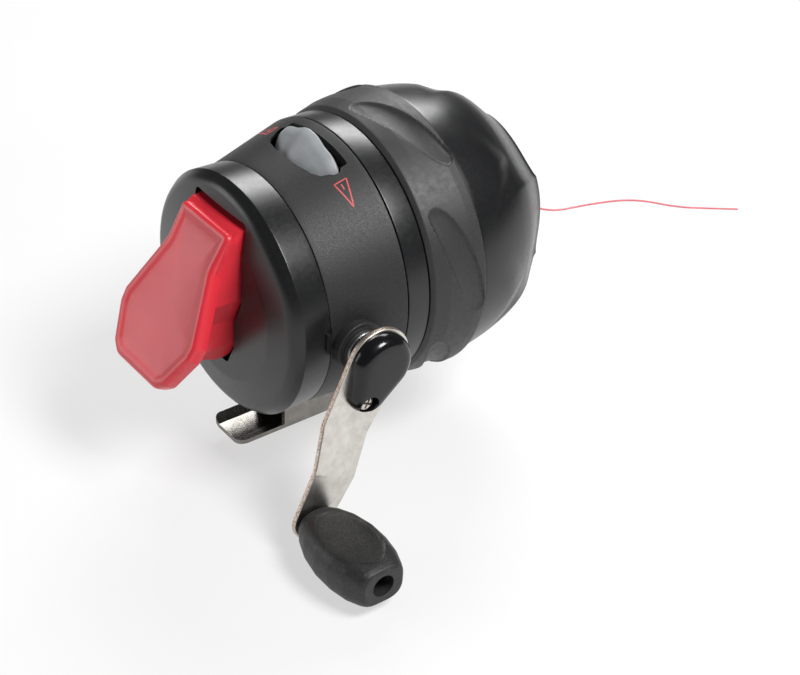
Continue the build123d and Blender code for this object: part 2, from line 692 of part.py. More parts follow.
with BuildPart() as crank_cap:
    with BuildSketch(ARM_PLANE.offset(ARM_OUT)):
        Circle(9.0)
        with Locations((CAP_TAIL, 0)):
            Circle(6.0)
        make_hull()
    extrude(amount=CAP_HEIGHT, taper=16)
    fillet(crank_cap.faces().sort_by(Axis.Y)[0].edges(), 1.3)
    with BuildSketch(ARM_PLANE.offset(ARM_OUT)):
        Circle(5.0)
    extrude(amount=CAP_HEIGHT - 1.0, mode=Mode.SUBTRACT)
    with BuildSketch(ARM_PLANE.offset(ARM_OUT + 1.4)):
        with Locations((CAP_SCREW, 0)):
            Circle(2.7)
    extrude(amount=CAP_HEIGHT, mode=Mode.SUBTRACT)
    with BuildSketch(ARM_PLANE.offset(ARM_OUT)):
        with Locations((CAP_SCREW, 0)):
            Circle(1.1)
    extrude(amount=2, mode=Mode.SUBTRACT)

with BuildPart() as cap_screw:
    with BuildSketch(ARM_PLANE.offset(ARM_OUT + 1.4)):
        with Locations((CAP_SCREW, 0)):
            Circle(2.3)
    extrude(amount=1.3)
    fillet(cap_screw.faces().sort_by(Axis.Y)[0].edges(), 0.5)
    with BuildSketch(ARM_PLANE.offset(ARM_OUT + 2.0)):
        with Locations((CAP_SCREW, 0)):
            Rectangle(2.6, 0.6)
            Rectangle(0.6, 2.6)
    extrude(amount=1.3, mode=Mode.SUBTRACT)
    with BuildSketch(ARM_PLANE.offset(ARM_OUT)):
        with Locations((CAP_SCREW, 0)):
            Circle(1.1)
    extrude(amount=1.4)

# sections of the knob: distance along -Y, half width, top, bottom, corner radius
KNOB_SECTIONS = [
    (KNOB_SEAT + 0.4, 5.6, 4.6, -5.0, 4.2),
    (KNOB_SEAT + 7.0, 8.8, 6.4, -7.4, 5.4),
    (KNOB_SEAT + 16.0, 10.2, 7.2, -8.4, 6.2),
    (KNOB_SEAT + 25.0, 8.8, 6.8, -7.6, 5.0),
    (KNOB_TIP, 6.4, 5.6, -6.0, 3.4),
]
with BuildPart() as knob:
    for along, wide, top, bottom, corner in KNOB_SECTIONS:
        with BuildSketch(Plane.XZ.offset(along)):
            with Locations((KNOB_AXIS.X, KNOB_AXIS.Z + (top + bottom) / 2)):
                RectangleRounded(2 * wide, top - bottom, corner)
    loft()
    # thumb dish in the top face
    with BuildSketch(Plane.XZ.offset(KNOB_SEAT + 5)):
        with Locations((KNOB_AXIS.X, KNOB_AXIS.Z + 5.6 + 13)):
            Circle(13.0)
    extrude(amount=KNOB_TIP - 3.4 - KNOB_SEAT - 5, mode=Mode.SUBTRACT)
    with BuildSketch(Plane.XZ.offset(KNOB_TIP - 6)):
        with Locations((KNOB_AXIS.X, KNOB_AXIS.Z)):
            Circle(R_KNOB_HOLE)
    extrude(amount=8, mode=Mode.SUBTRACT)
    with BuildSketch(Plane.XZ.offset(KNOB_SEAT - 1)):
        with Locations((KNOB_AXIS.X, KNOB_AXIS.Z)):
            Circle(R_RIVET + FIT)
    extrude(amount=KNOB_TIP - KNOB_SEAT, mode=Mode.SUBTRACT)

knob_rivet = turned_y([
    (ARM_IN + ARM_JOG - 1.0, 0), (KNOB_TIP - 4.4, 0), (KNOB_TIP - 4.4, R_RIVET_HEAD - 0.4),
    (KNOB_TIP - 5.0, R_RIVET_HEAD), (KNOB_TIP - 5.9, R_RIVET_HEAD), (KNOB_TIP - 5.9, R_RIVET),
    (ARM_IN + ARM_JOG, R_RIVET), (ARM_IN + ARM_JOG, R_RIVET_HEAD), (ARM_IN + ARM_JOG - 1.0, R_RIVET_HEAD),
], KNOB_AXIS.X, KNOB_AXIS.Z)

# ---- front cover, grip and line guide -----------------------------------------------
R_UNDER_GRIP = 37.0
R_GUIDE = 4.6
R_GUIDE_HOLE = 2.2
X_DISH = 60.6            # front face of the nose, recessed inside its rim
NOSE = [(34.4, 39.6), (39.6, 38.8), (44.8, 37.7), (49.9, 35.9), (54.1, 33.2), (58.2, 29.4), (61.3, 26.2)]
NOSE_WALL = 2.2
FLUTES = 6
FLUTE_SPHERE = 46.0
FLUTE_DEPTH = 1.5
FLUTE_X = 50.0
FLUTE_REACH = 35.8 + FLUTE_SPHERE - FLUTE_DEPTH
FLUTE_ANGLES = [radians(15 + 360 * i / FLUTES) for i in range(FLUTES)]
FLUTE_CENTRES = [(FLUTE_X, FLUTE_REACH * cos(a), AXIS_Z + FLUTE_REACH * sin(a)) for a in FLUTE_ANGLES]

with BuildPart() as front_cover:
    with BuildSketch(Plane.XZ):
        with BuildLine():
            nose_curve = Spline((X_GRIP, AXIS_Z + 40.3), *[(x, AXIS_Z + r) for x, r in NOSE],
                                (X_NOSE, AXIS_Z + 23.7))
            Polyline(
                nose_curve @ 1,
                (X_NOSE + 0.6, AXIS_Z + 22.2),
                (X_NOSE, AXIS_Z + 20.8),
                (X_DISH, AXIS_Z + 14.0),
                (X_DISH, AXIS_Z + R_GUIDE),
                (X_DISH - 2.0, AXIS_Z + R_GUIDE),
                (X_DISH - 2.0, AXIS_Z + 16.0),
                (58.2, AXIS_Z + 24.4),
                (53.0, AXIS_Z + 31.2),
                (48.0, AXIS_Z + 33.8),
                (X_NECK + 0.6, AXIS_Z + 34.8),
                (X_NECK + 0.6, AXIS_Z + R_NECK + FIT),
                (X_PART + 2.4, AXIS_Z + R_NECK + FIT),
                (X_PART + 2.4, AXIS_Z + 36.6),
                (X_PART + 0.3, AXIS_Z + 36.6),
                (X_PART + 0.3, AXIS_Z + R_BAND),
                (X_BAND, AXIS_Z + R_BAND),
                (X_BAND, AXIS_Z + R_UNDER_GRIP),
                (X_GRIP, AXIS_Z + R_UNDER_GRIP),
                nose_curve @ 0,
            )
        make_face()
    revolve(axis=REEL_AXIS)
    # shallow flutes around the nose
    with Locations(*FLUTE_CENTRES):
        Sphere(FLUTE_SPHERE, mode=Mode.SUBTRACT)

grip_ring = turned([
    (X_BAND + 0.3, R_UNDER_GRIP), (X_GRIP, R_UNDER_GRIP), (X_GRIP, R_GRIP), (X_GRIP - 3.0, R_GRIP),
    (X_BAND + 6.0, 40.4), (X_BAND + 1.4, 39.0), (X_BAND + 0.3, 38.2),
])
line_guide = turned([
    (X_DISH - 2.6, R_GUIDE_HOLE + 0.7), (X_DISH - 1.6, R_GUIDE_HOLE), (X_DISH + 1.2, R_GUIDE_HOLE),
    (X_DISH + 2.2, R_GUIDE_HOLE + 0.8), (X_DISH + 2.2, R_GUIDE_HOLE + 1.6), (X_DISH + 0.8, R_GUIDE + 1.6),
    (X_DISH, R_GUIDE + 1.6), (X_DISH, R_GUIDE), (X_DISH - 2.6, R_GUIDE),
])
cover_gasket = turned(tube(X_PART + 0.4, X_PART + 2.2, 36.5, R_NECK + FIT))

# ---- line ---------------------------------------------------------------------------
LINE_ROUTE = [
    (62.0, 0.0, 51.5), (69.5, -0.6, 49.9), (80.0, -7.0, 41.8), (95.0, -11.6, 42.7), (112.0, -12.8, 39.4),
    (132.0, -12.2, 29.4), (148.0, -11.4, 23.2), (161.2, -12.0, 18.8),
]
line_radii = []
for a, b, c in zip(LINE_ROUTE, LINE_ROUTE[1:], LINE_ROUTE[2:]):
    run_in = Vector(b) - Vector(a)
    run_out = Vector(c) - Vector(b)
    turn = radians(run_in.get_angle(run_out))
    line_radii.append(0.45 * min(run_in.length, run_out.length) / tan(turn / 2))
print("line radii", [round(r, 1) for r in line_radii])

with BuildPart() as line:
    with BuildLine() as route:
        FilletPolyline(*LINE_ROUTE, radius=line_radii)
    with BuildSketch(route.line ^ 0):
        Circle(LINE_D / 2)
    sweep()
line_length = sum(edge.length for edge in route.edges())
print("line length", round(line_length, 1), "volume ratio",
      round(line.part.volume / (line_length * pi * LINE_D ** 2 / 4), 3))

# ---- write every piece --------------------------------------------------------------
pieces = {
    "body_housing": body_housing,
    "rear_cover": rear_cover,
    "pivot_pin": pivot_pin,
    "reel_foot": reel_foot,
    "foot_screws": foot_screws,
    "deck_plate": deck_plate,
    "deck_screws": deck_screws,
    "pinion_bushing": pinion_bushing,
    "drag_axle": drag_axle,
    "crank_bushing": crank_bushing,
    "pawl_pin": pawl_pin,
    "thumb_button": thumb_button,
    "drag_wheel": drag_wheel,
    "spool": spool,
    "wound_line": wound_line,
    "drag_washers": drag_washers,
    "pinion": pinion,
    "centre_shaft": centre_shaft,
    "spinner_head": spinner_head,
    "pickup_pin": pickup_pin,
    "head_nut": head_nut,
    "thrust_cap": thrust_cap,
    "return_spring": return_spring,
    "crank_shaft": crank_shaft,
    "drive_gear": drive_gear,
    "ratchet_wheel": ratchet_wheel,
    "pawl": pawl,
    "crank_arm": crank_arm,
    "crank_nut": crank_nut,
    "crank_cap": crank_cap,
    "cap_screw": cap_screw,
    "knob": knob,
    "knob_rivet": knob_rivet,
    "front_cover": front_cover,
    "grip_ring": grip_ring,
    "line_guide": line_guide,
    "cover_gasket": cover_gasket,
    "line": line,
}
for label, piece in pieces.items():
    piece.part.label = label
    export_step(piece.part, f"parts/{label}.step")
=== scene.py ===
"""Looks of the spincast reel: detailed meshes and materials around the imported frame.

Lengths in this file are millimetres in the row frame; add_mesh turns them into metres.
"""
from math import asin, atan2, cos, degrees, pi, radians, sin

import bmesh
import bpy
import numpy as np
from mathutils import Matrix, Vector


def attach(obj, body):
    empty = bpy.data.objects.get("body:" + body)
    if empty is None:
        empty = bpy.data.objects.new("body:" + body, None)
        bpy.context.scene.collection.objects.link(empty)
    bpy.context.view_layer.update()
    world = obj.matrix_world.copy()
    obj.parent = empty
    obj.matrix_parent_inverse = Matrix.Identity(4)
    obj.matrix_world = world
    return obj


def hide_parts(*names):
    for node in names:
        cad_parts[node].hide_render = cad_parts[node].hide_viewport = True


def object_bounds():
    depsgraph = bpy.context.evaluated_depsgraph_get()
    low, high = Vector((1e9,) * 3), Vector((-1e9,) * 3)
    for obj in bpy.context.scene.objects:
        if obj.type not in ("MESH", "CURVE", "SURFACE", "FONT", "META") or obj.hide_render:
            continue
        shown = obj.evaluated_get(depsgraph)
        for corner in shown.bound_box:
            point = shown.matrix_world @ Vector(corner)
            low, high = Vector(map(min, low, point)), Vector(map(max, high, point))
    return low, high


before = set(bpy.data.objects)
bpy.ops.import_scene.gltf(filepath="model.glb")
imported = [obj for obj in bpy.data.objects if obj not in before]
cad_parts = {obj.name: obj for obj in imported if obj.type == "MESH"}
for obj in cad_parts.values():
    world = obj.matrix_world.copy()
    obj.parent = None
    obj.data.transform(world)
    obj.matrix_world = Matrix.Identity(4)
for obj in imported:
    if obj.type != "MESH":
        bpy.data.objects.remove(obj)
CAD_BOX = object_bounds()
MM = 0.001

# ---- dimensions shared with the frame -------------------------------------------------
AXIS_Z = 51.5
REAR_Z = 48.5
X_FACE = -31.6
X_CREASE = -26.6
X_SEAM = -18.0
X_PART = 4.6
X_BAND = 11.8
X_GRIP = 29.2
R_SEAM = 35.0
R_PART = 38.5
CRANK = Vector((-10.7, 0, 47.1))
LEAN = radians(28.5)
DOWN = Vector((-sin(LEAN), 0, -cos(LEAN)))
ACROSS = Vector((-cos(LEAN), 0, sin(LEAN)))
OUT = Vector((0, -1, 0))
ARM_OUT = 46.3
SCREW_AT = 11.3          # distance from the crank's axis to the cap screw
KNOB_AXIS = CRANK + DOWN * 47.0
WHEEL_Z = 75.4
LINE_ROUTE = [
    (62.0, 0.0, 51.5), (69.5, -0.6, 49.9), (80.0, -7.0, 41.8), (95.0, -11.6, 42.7), (112.0, -12.8, 39.4),
    (132.0, -12.2, 29.4), (148.0, -11.4, 23.2), (161.2, -12.0, 18.8),
]
LINE_D = 0.6


# ---- camera ---------------------------------------------------------------------------
camera_data = bpy.data.cameras.new("camera")
camera_data.lens = 90.0
camera_data.sensor_width = 36.0
camera = bpy.data.objects.new("camera", camera_data)
bpy.context.scene.collection.objects.link(camera)
camera.matrix_world = Matrix((
    (0.7987, 0.3174, -0.5112, -0.27303),
    (-0.6000, 0.4842, -0.6368, -0.38131),
    (0.0454, 0.8153, 0.5772, 0.35591),
    (0, 0, 0, 1),
))
bpy.context.scene.camera = camera


# ---- mesh helpers ---------------------------------------------------------------------
def add_mesh(name, verts, faces, sharp=35.0):
    mesh = bpy.data.meshes.new(name)
    mesh.from_pydata([tuple(float(c) * MM for c in v) for v in verts], [], [tuple(f) for f in faces])
    work = bmesh.new()
    work.from_mesh(mesh)
    bmesh.ops.remove_doubles(work, verts=work.verts, dist=1e-7)
    bmesh.ops.recalc_face_normals(work, faces=work.faces)
    work.to_mesh(mesh)
    work.free()
    obj = bpy.data.objects.new(name, mesh)
    bpy.context.scene.collection.objects.link(obj)
    smooth(obj, sharp)
    return obj


def smooth(obj, sharp=35.0):
    obj.data.polygons.foreach_set("use_smooth", [True] * len(obj.data.polygons))
    obj.data.set_sharp_from_angle(angle=radians(sharp))


def place(obj, body, slot, material, *nodes):
    """Gives a new piece its material, attaches it to its body and hides the CAD nodes that it stands for;
    slot is not used.
    """
    obj.data.materials.clear()
    obj.data.materials.append(material)
    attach(obj, body)
    if nodes:
        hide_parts(*nodes)
    return obj


def join_shape(obj, other, operation="DIFFERENCE"):
    """Cuts with, or adds, another object's solid, and removes that object."""
    modifier = obj.modifiers.new("shape", "BOOLEAN")
    modifier.operation = operation
    modifier.object = other
    modifier.solver = "EXACT"
    graph = bpy.context.evaluated_depsgraph_get()
    mesh = bpy.data.meshes.new_from_object(obj.evaluated_get(graph))
    obj.modifiers.clear()
    obj.data = mesh
    bpy.data.objects.remove(other)
    smooth(obj)
    return obj


def rounded(points, radii, steps=6):
    """Closed outline with its corners rounded. radii is one number or one for each point."""
    count = len(points)
    radii = [radii] * count if isinstance(radii, (int, float)) else radii
    out = []
    for i, (point, radius) in enumerate(zip(points, radii)):
        here = Vector(point)
        back = Vector(points[i - 1]) - here
        ahead = Vector(points[(i + 1) % count]) - here
        angle = back.angle(ahead)
        if radius <= 0 or angle > radians(178):
            out.append(tuple(here))
            continue
        reach = min(radius / np.tan(angle / 2), back.length * 0.49, ahead.length * 0.49)
        start = here + back.normalized() * reach
        end = here + ahead.normalized() * reach
        for k in range(steps + 1):
            t = k / steps
            out.append(tuple(start * (1 - t) ** 2 + here * 2 * t * (1 - t) + end * t ** 2))
    return out


def dense(points, gap, closed=True):
    """The same outline with no run longer than gap."""
    out = []
    ends = points[1:] + points[:1] if closed else points[1:]
    for a, b in zip(points, ends):
        pieces = max(1, int(np.ceil(np.hypot(b[0] - a[0], b[1] - a[1]) / gap)))
        out += [tuple(np.add(a, np.subtract(b, a) * k / pieces)) for k in range(pieces)]
    return out if closed else out + [points[-1]]


def lathe(name, outline, segments, height=lambda x: AXIS_Z, shape=None, sharp=35.0):
    """Ring or solid turned about an axis along X, from a closed (x, radius) outline.

    shape(x, radius, angle) gives the radius at an angle, which is 0 at -Y and 90 degrees at the top.
    """
    x = np.array([p[0] for p in outline])
    r = np.array([p[1] for p in outline])
    z = np.array([height(value) for value in x])
    verts = []
    for k in range(segments):
        a = 2 * pi * k / segments
        ra = shape(x, r, a) if shape else r
        verts.append(np.stack([x, -ra * cos(a), z + ra * sin(a)], 1))
    count = len(outline)
    verts = np.concatenate(verts)
    faces = []
    for k in range(segments):
        here, there = k * count, (k + 1) % segments * count
        for i in range(count):
            j = (i + 1) % count
            faces.append((here + i, here + j, there + j, there + i))
    flat = [f for f in faces if not (r[f[0] % count] < 1e-6 and r[f[1] % count] < 1e-6)]
    return add_mesh(name, verts, flat, sharp)


def layered(name, outline, levels, centre, place_point, sharp=35.0, core=8):
    """Cushion-like solid over an outline. levels are (inset, height) from the underside to the face;
    the last level is then drawn in to the centre, along heights from its function."""
    base = np.array(outline, float)
    ahead = np.roll(base, -1, 0) - np.roll(base, 1, 0)
    inward = np.stack([-ahead[:, 1], ahead[:, 0]], 1)
    inward /= np.linalg.norm(inward, axis=1)[:, None]
    area = np.sum(base[:, 0] * np.roll(base[:, 1], -1) - np.roll(base[:, 0], -1) * base[:, 1])
    inward *= 1 if area > 0 else -1
    rings = [np.column_stack([base + inward * inset, np.full(len(base), level)])
             for inset, level in levels[:-1]]
    inset, level, dip = levels[-1]
    last = base + inward * inset
    middle = np.array(centre)
    for k in range(core):
        t = k / core
        ring = last + (middle - last) * t
        rings.append(np.column_stack([ring, np.full(len(base), level + dip * (1 - (1 - t) ** 2))]))
    count = len(base)
    verts = [place_point(*p) for ring in rings for p in ring]
    faces = []
    for k in range(len(rings) - 1):
        for i in range(count):
            j = (i + 1) % count
            faces.append((k * count + i, k * count + j, (k + 1) * count + j, (k + 1) * count + i))
    verts.append(place_point(middle[0], middle[1], level + dip))
    top = (len(rings) - 1) * count
    faces += [(top + i, top + (i + 1) % count, len(verts) - 1) for i in range(count)]
    faces.append(tuple(range(count))[::-1])
    return add_mesh(name, verts, faces, sharp)


def prism(name, outline, place_point, low, high, sharp=35.0):
    count = len(outline)
    verts = [place_point(a, b, low) for a, b in outline] + [place_point(a, b, high) for a, b in outline]
    faces = [(i, (i + 1) % count, (i + 1) % count + count, i + count) for i in range(count)]
    faces += [tuple(range(count))[::-1], tuple(range(count, 2 * count))]
    return add_mesh(name, verts, faces, sharp)


def circle(radius, count=48, centre=(0, 0)):
    return [(centre[0] + radius * cos(2 * pi * k / count), centre[1] + radius * sin(2 * pi * k / count))
            for k in range(count)]


def soften(obj, width, segments=3, angle=30.0):
    """Rounds the edges of a piece, as bending, moulding or tumbling leaves them."""
    weld = obj.modifiers.new("weld", "WELD")
    weld.merge_threshold = 2e-6
    bevel = obj.modifiers.new("bevel", "BEVEL")
    bevel.width = width * MM
    bevel.segments = segments
    bevel.limit_method = "ANGLE"
    bevel.angle_limit = radians(angle)
    bevel.harden_normals = False
    return obj


# ---- materials ------------------------------------------------------------------------
class Surface:
    """Builds one procedural material on object coordinates, which are metres in the row frame."""

    def __init__(self, name, **values):
        self.material = bpy.data.materials.new(name)
        self.material.use_nodes = True
        self.nodes = self.material.node_tree.nodes
        self.links = self.material.node_tree.links
        self.shader = self.nodes["Principled BSDF"]
        self.point = self.nodes.new("ShaderNodeTexCoord").outputs["Object"]
        self.bump_out = None
        for key, value in values.items():
            self.shader.inputs[key.replace("_", " ")].default_value = value

    def noise(self, size, detail=3.0, rough=0.55, stretch=None):
        point = self.point
        if stretch:
            mapping = self.nodes.new("ShaderNodeMapping")
            mapping.inputs["Scale"].default_value = stretch
            self.links.new(point, mapping.inputs["Vector"])
            point = mapping.outputs["Vector"]
        node = self.nodes.new("ShaderNodeTexNoise")
        node.inputs["Scale"].default_value = 1 / (size * MM)
        node.inputs["Detail"].default_value = detail
        node.inputs["Roughness"].default_value = rough
        self.links.new(point, node.inputs["Vector"])
        return node.outputs["Fac"]

    def cells(self, size):
        node = self.nodes.new("ShaderNodeTexVoronoi")
        node.feature = "SMOOTH_F1"
        node.inputs["Scale"].default_value = 1 / (size * MM)
        self.links.new(self.point, node.inputs["Vector"])
        return node.outputs["Distance"]

    def spread(self, value, low, high, start=0.3, end=0.7):
        node = self.nodes.new("ShaderNodeMapRange")
        node.inputs["From Min"].default_value = start
        node.inputs["From Max"].default_value = end
        node.inputs["To Min"].default_value = low
        node.inputs["To Max"].default_value = high
        self.links.new(value, node.inputs["Value"])
        return node.outputs["Result"]

    def colours(self, value, stops):
        node = self.nodes.new("ShaderNodeValToRGB")
        ramp = node.color_ramp
        ramp.elements[0].position, ramp.elements[0].color = stops[0][0], (*stops[0][1], 1)
        ramp.elements[1].position, ramp.elements[1].color = stops[-1][0], (*stops[-1][1], 1)
        for position, colour in stops[1:-1]:
            ramp.elements.new(position).color = (*colour, 1)
        self.links.new(value, node.inputs["Fac"])
        return node.outputs["Color"]

    def colour(self, value, stops):
        self.links.new(self.colours(value, stops), self.shader.inputs["Base Color"])
        return self

    def roughness(self, value, low, high):
        self.links.new(self.spread(value, low, high), self.shader.inputs["Roughness"])
        return self

    def bump(self, value, depth, strength=1.0):
        """Adds relief of about that depth in millimetres."""
        node = self.nodes.new("ShaderNodeBump")
        node.inputs["Distance"].default_value = depth * MM
        node.inputs["Strength"].default_value = strength
        self.links.new(value, node.inputs["Height"])
        if self.bump_out:
            self.links.new(self.bump_out, node.inputs["Normal"])
        self.bump_out = node.outputs["Normal"]
        self.links.new(self.bump_out, self.shader.inputs["Normal"])
        return self


def metal(name, dark, light, low, high, grain=0.25, depth=0.004, stretch=None):
    made = Surface(name, Metallic=1.0)
    made.colour(made.noise(2.5, 4), [(0.3, dark), (0.7, light)])
    made.roughness(made.noise(grain, 2, stretch=stretch), low, high)
    made.bump(made.noise(grain, 3, stretch=stretch), depth)
    return made.material


satin = Surface("satin_black_enamel", Specular_IOR_Level=0.5)
satin.colour(satin.noise(9, 4), [(0.3, (0.007, 0.0072, 0.008)), (0.7, (0.010, 0.0103, 0.011))])
satin.roughness(satin.noise(1.2, 4), 0.28, 0.35)
satin.bump(satin.noise(0.35, 2), 0.006)
SATIN = satin.material

powder = Surface("textured_black_coat", Specular_IOR_Level=0.5)
powder.colour(powder.noise(0.22, 2), [(0.35, (0.010, 0.010, 0.010)), (0.62, (0.018, 0.018, 0.018)),
                                      (0.78, (0.06, 0.06, 0.06))])
powder.roughness(powder.noise(0.5, 3), 0.46, 0.6)
powder.bump(powder.noise(0.3, 3, 0.7), 0.05)
POWDER = powder.material

rubber = Surface("grip_rubber", Specular_IOR_Level=0.45)
rubber.colour(rubber.noise(0.4, 3), [(0.3, (0.022, 0.022, 0.022)), (0.75, (0.036, 0.036, 0.036))])
rubber.roughness(rubber.noise(1.5, 4), 0.44, 0.56)
rubber.bump(rubber.noise(0.28, 3, 0.7), 0.035)
RUBBER = rubber.material

red = Surface("red_plastic", Specular_IOR_Level=0.5, Coat_Weight=0.3, Coat_Roughness=0.2)
red.colour(red.noise(14, 2), [(0.3, (0.64, 0.020, 0.036)), (0.7, (0.71, 0.028, 0.044))])
red.roughness(red.noise(6.0, 2), 0.38, 0.44)
red.bump(red.noise(7.0, 1), 0.004)
RED = red.material

grey = Surface("drag_wheel_grey", Specular_IOR_Level=0.5)
grey.colour(grey.noise(6, 3), [(0.3, (0.27, 0.285, 0.295)), (0.7, (0.31, 0.325, 0.335))])
grey.roughness(grey.noise(1.4, 3), 0.36, 0.48)
grey.bump(grey.noise(0.5, 3), 0.008)
GREY = grey.material

cap_black = Surface("gloss_black", Specular_IOR_Level=0.35, Coat_Weight=0.1, Coat_Roughness=0.06)
cap_black.colour(cap_black.noise(5, 3), [(0.3, (0.005, 0.005, 0.006)), (0.7, (0.008, 0.008, 0.009))])
cap_black.roughness(cap_black.noise(2, 3), 0.14, 0.22)
cap_black.bump(cap_black.noise(1.6, 2), 0.006)
CAP_BLACK = cap_black.material

pebble = Surface("knob_plastic", Specular_IOR_Level=0.45)
pebble.colour(pebble.cells(0.7), [(0.1, (0.026, 0.026, 0.026)), (0.6, (0.016, 0.016, 0.016))])
pebble.roughness(pebble.noise(0.8, 3), 0.42, 0.56)
pebble.bump(pebble.cells(0.75), 0.05)
pebble.bump(pebble.noise(0.4, 3), 0.03)
PEBBLE = pebble.material

foot_steel = metal("foot_steel", (0.20, 0.19, 0.175), (0.28, 0.265, 0.245), 0.2, 0.3, 0.3, 0.006, (6, 1, 1))
STEEL = metal("plain_steel", (0.42, 0.42, 0.42), (0.55, 0.55, 0.54), 0.25, 0.4)
BRASS = metal("plain_brass", (0.55, 0.36, 0.12), (0.68, 0.47, 0.19), 0.25, 0.4)
ALUMINIUM = metal("pressed_aluminium", (0.62, 0.62, 0.63), (0.72, 0.72, 0.73), 0.28, 0.42)


def nickel_material():
    """Nickel-plated sheet: smooth satin faces and torn, pinkish sheared edges."""
    made = Surface("nickel_sheet", Metallic=1.0)
    split = made.nodes.new("ShaderNodeSeparateXYZ")
    made.links.new(made.nodes.new("ShaderNodeNewGeometry").outputs["Normal"], split.inputs["Vector"])
    flat = made.nodes.new("ShaderNodeMath")
    flat.operation = "ABSOLUTE"
    made.links.new(split.outputs["Y"], flat.inputs[0])
    face = made.spread(flat.outputs["Value"], 0, 1, 0.55, 0.85)
    edge_colour = made.colours(made.noise(0.4, 4, 0.75), [
        (0.35, (0.10, 0.07, 0.05)),
        (0.5, (0.55, 0.45, 0.38)),
        (0.68, (0.9, 0.82, 0.75)),
    ])
    face_colour = made.colours(made.noise(3, 4), [(0.3, (0.56, 0.53, 0.49)), (0.7, (0.72, 0.69, 0.65))])
    mix = made.nodes.new("ShaderNodeMix")
    mix.data_type = "RGBA"
    made.links.new(face, mix.inputs["Factor"])
    made.links.new(edge_colour, mix.inputs["A"])
    made.links.new(face_colour, mix.inputs["B"])
    made.links.new(mix.outputs["Result"], made.shader.inputs["Base Color"])
    made.links.new(made.spread(face, 0.5, 0.27, 0, 1), made.shader.inputs["Roughness"])
    made.bump(made.noise(0.35, 4, 0.7), 0.03, 0.5)
    return made.material


NICKEL = nickel_material()

white_plastic = Surface("spool_plastic")
white_plastic.colour(white_plastic.noise(5, 3), [(0.3, (0.62, 0.61, 0.57)), (0.7, (0.72, 0.71, 0.67))])
white_plastic.roughness(white_plastic.noise(1, 3), 0.4, 0.5)
SPOOL_WHITE = white_plastic.material

nylon = Surface("line_nylon", Specular_IOR_Level=0.5, Transmission_Weight=0.2)
nylon.colour(nylon.noise(6, 3), [(0.3, (0.80, 0.16, 0.20)), (0.7, (0.88, 0.26, 0.30))])
nylon.roughness(nylon.noise(2, 3), 0.25, 0.35)
NYLON = nylon.material

felt = Surface("felt", Sheen_Weight=0.3)
felt.colour(felt.noise(0.3, 4, 0.8), [(0.3, (0.16, 0.14, 0.11)), (0.7, (0.28, 0.25, 0.2))])
felt.roughness(felt.noise(0.5, 3), 0.85, 0.95)
felt.bump(felt.noise(0.25, 4, 0.8), 0.08)
FELT = felt.material

paint = Surface("red_marking")
paint.colour(paint.noise(0.8, 3), [(0.3, (0.50, 0.06, 0.06)), (0.7, (0.62, 0.10, 0.10))])
paint.roughness(paint.noise(0.6, 3), 0.45, 0.6)
MARKING = paint.material


# ---- front cover: band, fluted nose and dished front -----------------------------------
FLUTES = 6
nose_x = [29.2, 34.4, 39.6, 44.8, 49.9, 54.1, 58.2, 61.3, 63.8]
nose_r = [40.2, 39.6, 38.8, 37.7, 35.9, 33.2, 29.4, 26.2, 23.9]
# along a flute, from ridge to ridge: where the flute starts
START_AT = [0.0, 0.06, 0.14, 0.25, 0.41, 0.57, 0.75, 1.0]
START_X = [31.0, 36.5, 39.6, 41.6, 38.9, 35.2, 32.0, 31.0]
# a ridge winds around the nose: its angle at each x, in degrees
RIDGE_X = [31.5, 33.9, 37.9, 43.3, 48.4, 56.6, 64.0]
RIDGE_ANGLE = [21.5, 24.4, 28.0, 32.9, 35.4, 36.4, 37.5]


def flute(x, r, angle):
    ridge = np.interp(x, RIDGE_X, RIDGE_ANGLE)
    phase = ((degrees(angle) - ridge) * FLUTES / 360) % 1.0
    start = np.interp(phase, START_AT, START_X)
    grow = np.clip((x - start) / 9.0, 0, 1)
    grow = grow * grow * (3 - 2 * grow)
    crisp = np.interp(x, [34, 46, 56], [2.2, 1.5, 1.15])
    valley = np.sin(pi * phase ** 0.62) ** crisp
    depth = np.interp(x, [30, 40, 50, 58, 64], [0.5, 1.1, 1.9, 2.1, 1.8]) * grow * valley
    return np.where((x > X_GRIP) & (r > 15), r - depth * np.clip((r - 15) / 7, 0, 1), r)


nose = [(x, float(np.interp(x, nose_x, nose_r))) for x in np.linspace(29.2, 63.8, 60)]
smooth_r = np.convolve(np.pad([p[1] for p in nose], 4, mode="edge"), np.ones(9) / 9, "valid")
nose = [(x, r) for (x, _), r in zip(nose, smooth_r)]
cover_outline = (
    rounded([(4.9, 36.6), (4.9, 38.4), (X_BAND, 38.4), (X_BAND + 0.02, 37.02)], [0, 0.35, 0.35, 0])
    + [(X_GRIP, 37.02), (X_GRIP + 0.05, 39.6), (X_GRIP + 0.35, 40.0)]
    + nose[2:]
    + [(64.3, 23.0), (64.4, 22.4), (64.2, 21.6)]
    + dense([(63.4, 20.4), (60.9, 15.0), (60.6, 13.8), (60.6, 4.6)], 1.2, closed=False)
    + [(58.6, 4.6), (58.6, 16.0), (58.2, 22.4), (53.0, 27.4), (48.0, 30.8), (40.0, 33.4),
       (14.6, 34.8), (14.6, 35.45), (7.0, 35.45), (7.0, 36.6)]
)
cover_shell = lathe("cover_shell", cover_outline, 360, shape=flute, sharp=40)
place(cover_shell, "cover", "satin_black", SATIN, "front_cover")

# ---- rubber grip with slanting leaf-shaped hollows --------------------------------------
def leaves(x, r, angle):
    along = (x - 22.0) / 7.0
    middle = 16.0 - 20.0 * along
    off = (degrees(angle) - middle + 30) % 60 - 30
    half = 15.5 * np.clip(1 - along ** 2, 0, 1) ** 0.8 + 0.01
    inside = np.clip(1 - (off / half) ** 2, 0, 1)
    depth = 1.3 * inside ** 0.5 * np.clip(1 - along ** 2, 0, 1) ** 0.35
    return np.where(r > 37.8, r - depth, r)


